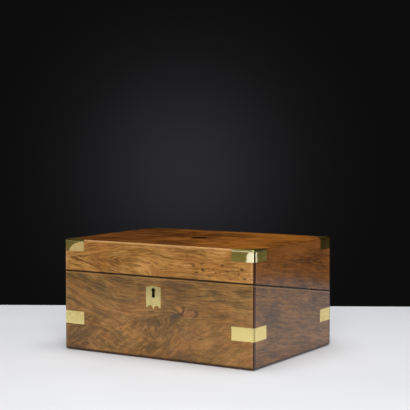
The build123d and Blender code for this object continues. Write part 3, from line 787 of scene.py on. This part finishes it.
def piece(shape, name, slot, body, replaced=(), smooth=False):
    """Object from a finished shape, with its slot's finish; it rides on the body."""
    mesh = bpy.data.meshes.new(name)
    shape.to_mesh(mesh)
    shape.free()
    mesh.materials.append(finishes[slot])
    if smooth:
        mesh.shade_smooth()
    made = bpy.data.objects.new(name, mesh)
    bpy.context.scene.collection.objects.link(made)
    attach(made, body)
    if replaced:
        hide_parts(*replaced)
    return made


def flat_grid(width, length, steps):
    """Grid about the origin with the distances in from its edges in a UV map."""
    grid = bmesh.new()
    bmesh.ops.create_grid(grid, x_segments=steps[0], y_segments=steps[1], size=0.5)
    bmesh.ops.scale(grid, vec=(width, length, 1), verts=grid.verts)
    edges = grid.loops.layers.uv.new("edges")
    for face in grid.faces:
        for loop in face.loops:
            place = loop.vert.co
            loop[edges].uv = (width / 2 - abs(place.x), length / 2 - abs(place.y))
    return grid


def thicken(made, thickness, offset):
    """Even thickness, to one side of the sheet or about its middle."""
    walls = made.modifiers.new("thickness", "SOLIDIFY")
    walls.thickness = thickness
    walls.offset = offset


def slope_limits(node):
    """A node's limits along the slope frame's axes."""
    to_slope = slope_frame.inverted()
    places = [to_slope @ vertex.co for vertex in frame["nodes"][node].data.vertices]
    low = Vector([min(place[axis] for place in places) for axis in range(3)])
    high = Vector([max(place[axis] for place in places) for axis in range(3)])
    return low, high


def writing_leather(flap, turned):
    """Leather panel let in flush in a flap, its edges pressed down and its face gently uneven."""
    node = flap + "_leather"
    low, high = slope_limits(node)
    width, length = high.x - low.x, high.y - low.y
    hide = flat_grid(width, length, (112, 72))
    face_side = -1 if turned else 1
    pressed_reach, pressed_depth, below_face, sunk = 3 * MM, 0.16 * MM, 0.02 * MM, 0.08 * MM
    for vertex in hide.verts:
        x, y = vertex.co.x, vertex.co.y
        inward = min(width / 2 - abs(x), length / 2 - abs(y))
        press = pressed_depth * max(0.0, 1 - inward / pressed_reach) ** 2
        ripples = math.sin(x * 61 + 1.3) * math.sin(y * 83) + math.sin(x * 23 - y * 37)
        vertex.co.z = face_side * (0.05 * MM * ripples - press - below_face)
    if turned:
        bmesh.ops.reverse_faces(hide, faces=hide.faces)
    level = (low.z if turned else high.z) - face_side * sunk
    place = slope_frame @ Matrix.Translation((0, (low.y + high.y) / 2, level))
    bmesh.ops.transform(hide, matrix=place, verts=hide.verts)
    made = piece(hide, flap + "_writing_leather", "writing_leather", flap, [node], smooth=True)
    thicken(made, 0.6 * MM, -1)


def pull_tab(flap, turned):
    """Doubled ribbon glued to a flap's free edge, its fold outwards."""
    node = flap + "_tab"
    low, high = slope_limits(node)
    width, reach = high.x - low.x, high.y - low.y
    layer = 0.2 * MM
    bend = 0.17 * MM
    straight = reach - bend - layer / 2
    length = 2 * straight + math.pi * bend
    tape = flat_grid(width, length, (10, 64))
    for vertex in tape.verts:
        run = vertex.co.y + length / 2
        across = vertex.co.x
        if run < straight:
            y, z = reach - run, -bend
        elif run > length - straight:
            y, z = reach - (length - run), bend
        else:
            turn = (run - straight) / bend
            y, z = reach - straight - bend * math.sin(turn), -bend * math.cos(turn)
        lift = 0.03 * MM * math.sin(across * 900) * math.sin(y * 700)
        vertex.co = (across * (1 - 0.02 * (z > 0)), y, z + max(lift, 0) * (z > 0))
    middle = (low.z + high.z) / 2
    place = slope_frame @ Matrix.Translation((0, low.y, middle))
    if turned:
        place = place @ Matrix.Diagonal((1, 1, -1, 1))
    bmesh.ops.transform(tape, matrix=place, verts=tape.verts)
    made = piece(tape, flap + "_pull_tab", "tab_ribbon", flap, [node], smooth=True)
    thicken(made, layer, 0)


def base_baize():
    """Baize glued under the bottom board, with a hand-cut edge."""
    low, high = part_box("base_felt")
    width, length = high[0] - low[0], high[1] - low[1]
    cloth = flat_grid(width, length, (120, 88))
    edge_width, cut = 0.5 * MM, 0.3 * MM
    for vertex in cloth.verts:
        x, y = vertex.co.x, vertex.co.y
        if min(width / 2 - abs(x), length / 2 - abs(y)) < edge_width:
            ragged = abs(cut * (math.sin(x * 310 + y * 170) + math.sin(x * 97 - y * 131 + 1)))
            vertex.co.x = x - math.copysign(ragged, x)
            vertex.co.y = y - math.copysign(ragged, y)
        vertex.co.z = 0.04 * MM * math.sin(x * 140) * math.sin(y * 117 + 1)
    bmesh.ops.translate(cloth, vec=(0, 0, high[2] - 0.1 * MM), verts=cloth.verts)
    made = piece(cloth, "base_baize", "felt", "base", ["base_felt"], smooth=True)
    thicken(made, 0.85 * MM, -1)


# Half section of a cap from the middle of its top round to the middle of its hollow, in
# millimetres: radius and height
cap_profile = [
    (0, 8.0), (3.0, 7.96), (6.4, 7.82), (7.0, 7.5), (7.5, 7.5), (8.0, 7.72), (10.6, 7.4),
    (11.2, 7.0), (11.7, 7.0), (12.2, 7.15), (13.2, 6.75), (13.75, 6.3), (14.0, 5.9),
    (14.4, 5.7), (14.4, 4.0), (14.4, 1.9), (14.0, 1.7), (14.0, 1.4), (14.45, 1.1),
    (14.5, 0.7), (14.3, 0.2), (13.9, 0.0), (12.9, 0.0), (12.7, 0.3), (12.7, 5.6), (0, 5.9),
]
cap_radius = 14.5
grip_radius, grip_low, grip_high, grip_depth = 14.3 * MM, 1.8 * MM, 5.8 * MM, 0.35 * MM


def turned_cap(side):
    """Domed screw cap with a milled grip, turned rings on top and a hollow underside."""
    low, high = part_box("ink_cap_" + side)
    cap = bmesh.new()
    points = [cap.verts.new((r * MM, 0, h * MM)) for r, h in cap_profile]
    section = points + [cap.edges.new(pair) for pair in zip(points, points[1:])]
    columns = 168
    column_turn = 2 * math.pi / columns
    bmesh.ops.spin(
        cap, geom=section, axis=(0, 0, 1), cent=(0, 0, 0), angle=2 * math.pi, steps=columns,
        use_merge=True,
    )
    bmesh.ops.remove_doubles(cap, verts=cap.verts, dist=0.01 * MM)
    for vertex in cap.verts:
        across = math.hypot(vertex.co.x, vertex.co.y)
        if across > grip_radius and grip_low < vertex.co.z < grip_high:
            if round(math.atan2(vertex.co.y, vertex.co.x) / column_turn) % 3 == 0:
                vertex.co.x *= 1 - grip_depth / across
                vertex.co.y *= 1 - grip_depth / across
    bmesh.ops.recalc_face_normals(cap, faces=cap.faces)
    scale = (high[0] - low[0]) / 2 / (cap_radius * MM)
    bmesh.ops.scale(cap, vec=(scale, scale, 1), verts=cap.verts)
    middle = ((low[0] + high[0]) / 2, (low[1] + high[1]) / 2, low[2])
    bmesh.ops.translate(cap, vec=middle, verts=cap.verts)
    piece(cap, "turned_cap_" + side, "ink_brass", "ink_cap_" + side, ["ink_cap_" + side])


screw_height, slot_depth, screw_sunk = 0.6 * MM, 0.34 * MM, 0.2 * MM


def screw_head(heads, place, radius, turn):
    """Adds one slotted countersunk head, its face up along the place's Z."""
    head = bmesh.new()
    bmesh.ops.create_cone(
        head, cap_ends=True, segments=28, radius1=radius * 0.7, radius2=radius,
        depth=screw_height,
    )
    slot_half = radius * 0.13
    for side in (-1, 1):
        bmesh.ops.bisect_plane(
            head, geom=head.verts[:] + head.edges[:] + head.faces[:],
            plane_co=(0, side * slot_half, 0), plane_no=(0, 1, 0),
        )
    tops = [face for face in head.faces if face.normal.z > 0.99]
    floor = [face for face in tops if abs(face.calc_center_median().y) < slot_half * 0.5]
    pressed = bmesh.ops.extrude_face_region(head, geom=floor)["geom"]
    moved = [item for item in pressed if isinstance(item, bmesh.types.BMVert)]
    bmesh.ops.translate(head, vec=(0, 0, -slot_depth), verts=moved)
    bmesh.ops.transform(head, matrix=place @ Matrix.Rotation(turn, 4, "Z"), verts=head.verts)
    mesh = bpy.data.meshes.new("screw")
    head.to_mesh(mesh)
    head.free()
    heads.from_mesh(mesh)
    bpy.data.meshes.remove(mesh)


def screws(name, body, spots, radius, level, up):
    """Screws in one plate; spots are places along and across it, in millimetres on the slope."""
    first_turn, turn_step = 0.6, 1.9
    heads = bmesh.new()
    for index, (x, y) in enumerate(spots):
        face = Matrix.Translation((x * MM, y * MM, level * MM))
        if not up:
            face = face @ Matrix.Rotation(math.pi, 4, "X")
        place = slope_frame @ face @ Matrix.Translation((0, 0, -screw_sunk))
        screw_head(heads, place, radius * MM, first_turn + index * turn_step)
    piece(heads, name, "lock_brass", body)


def on_two_leaves(out, steps, along):
    """Spots on a left and a right leaf, in millimetres, at steps from each leaf's middle."""
    return [(side * out + step, along) for side in (-1, 1) for step in steps]


writing_leather("base_flap", turned=False)
writing_leather("lid_flap", turned=True)
pull_tab("base_flap", turned=False)
pull_tab("lid_flap", turned=True)
base_baize()
turned_cap("left")
turned_cap("right")

lock_spots = [(-lock_left - 28, -241.9), (-lock_left + 28, -241.9)]
screws("selvedge_screws", "base", lock_spots, radius=2.3, level=-0.25, up=True)
screws("link_plate_screws", "lid", lock_spots, radius=2.3, level=0.25, up=False)
main_spots = on_two_leaves(105, (-15, 0, 15), -6.9)
screws("base_hinge_screws", "base", main_spots, radius=1.9, level=-0.25, up=True)
screws("lid_hinge_screws", "lid", main_spots, radius=1.9, level=0.25, up=False)
base_flap_spots = on_two_leaves(92, (-5.5, 5.5), -20.3)
lid_flap_spots = on_two_leaves(92, (-5.5, 5.5), -21.2)
screws(
    "base_flap_hinge_screws", "base_flap", base_flap_spots, radius=1.5, level=-1.2, up=True
)
screws(
    "lid_flap_hinge_screws", "lid_flap", lid_flap_spots, radius=1.5, level=1.2, up=False
)


# Table and background

def table():
    """Pale table top, its far and near edges nearly square to the view."""
    near, far, side, thick = 1.28, 2.279, 0.95, 0.03
    askew = -0.028
    top = bmesh.new()
    bmesh.ops.create_cube(top, size=1)
    centre = from_camera((near + far) / 2, 0, -thick / 2)
    turn = Matrix.Rotation(camera_turn + askew, 4, "Z")
    size = Matrix.Diagonal((2 * side, far - near, thick, 1))
    bmesh.ops.transform(top, matrix=Matrix.Translation(centre) @ turn @ size, verts=top.verts)
    mesh = bpy.data.meshes.new("table")
    top.to_mesh(mesh)
    top.free()
    f = new_finish("table_white")
    faint = f.noise(f.vector(*f.place()), 6, 2)
    mesh.materials.append(f.shade(
        Base_Color=f.blend(faint, srgb(224, 225, 228), srgb(232, 233, 235)),
        Roughness=0.6 + 0.05 * faint,
        Specular_IOR_Level=0.06,
    ))
    board = bpy.data.objects.new("table", mesh)
    bpy.context.scene.collection.objects.link(board)


def studio_dark():
    """World: soft grey fill for the surfaces, near black to the eye and in reflections.

    A faint glow stands behind the box, and reflections also see an olive room behind the
    camera."""
    world = bpy.data.worlds.new("studio")
    bpy.context.scene.world = world
    f = Finish(world)
    towards = f.node("ShaderNodeTexCoord", output="Generated")
    glow_line = from_camera(1, -0.0164, -0.036) - from_camera(0, 0, 0)
    glow_width = 0.0030
    glow = natural ** ((f.dot(towards, glow_line.normalized()) - 1) / glow_width)
    dark = f.blend(glow, srgb(13, 13, 13), srgb(42, 42, 45))
    room_line = from_camera(-1, -0.6, 0) - from_camera(0, 0, 0)
    kinds = ("Is Camera Ray", "Is Glossy Ray", "Is Transmission Ray")
    eye, glossy, through = [f.node("ShaderNodeLightPath", output=kind) for kind in kinds]
    room = f.spread(f.dot(towards, room_line.normalized()), 0.1, 0.8) * glossy
    dark = f.blend(room, dark, srgb(66, 62, 46))
    fill = (0.22, 0.22, 0.23)
    light = f.blend(f.most(f.most(eye, glossy), through), fill, dark)
    f.end(f.node("ShaderNodeBackground", sockets={0: light, 1: 1.0}), "ShaderNodeOutputWorld")


table()
studio_dark()
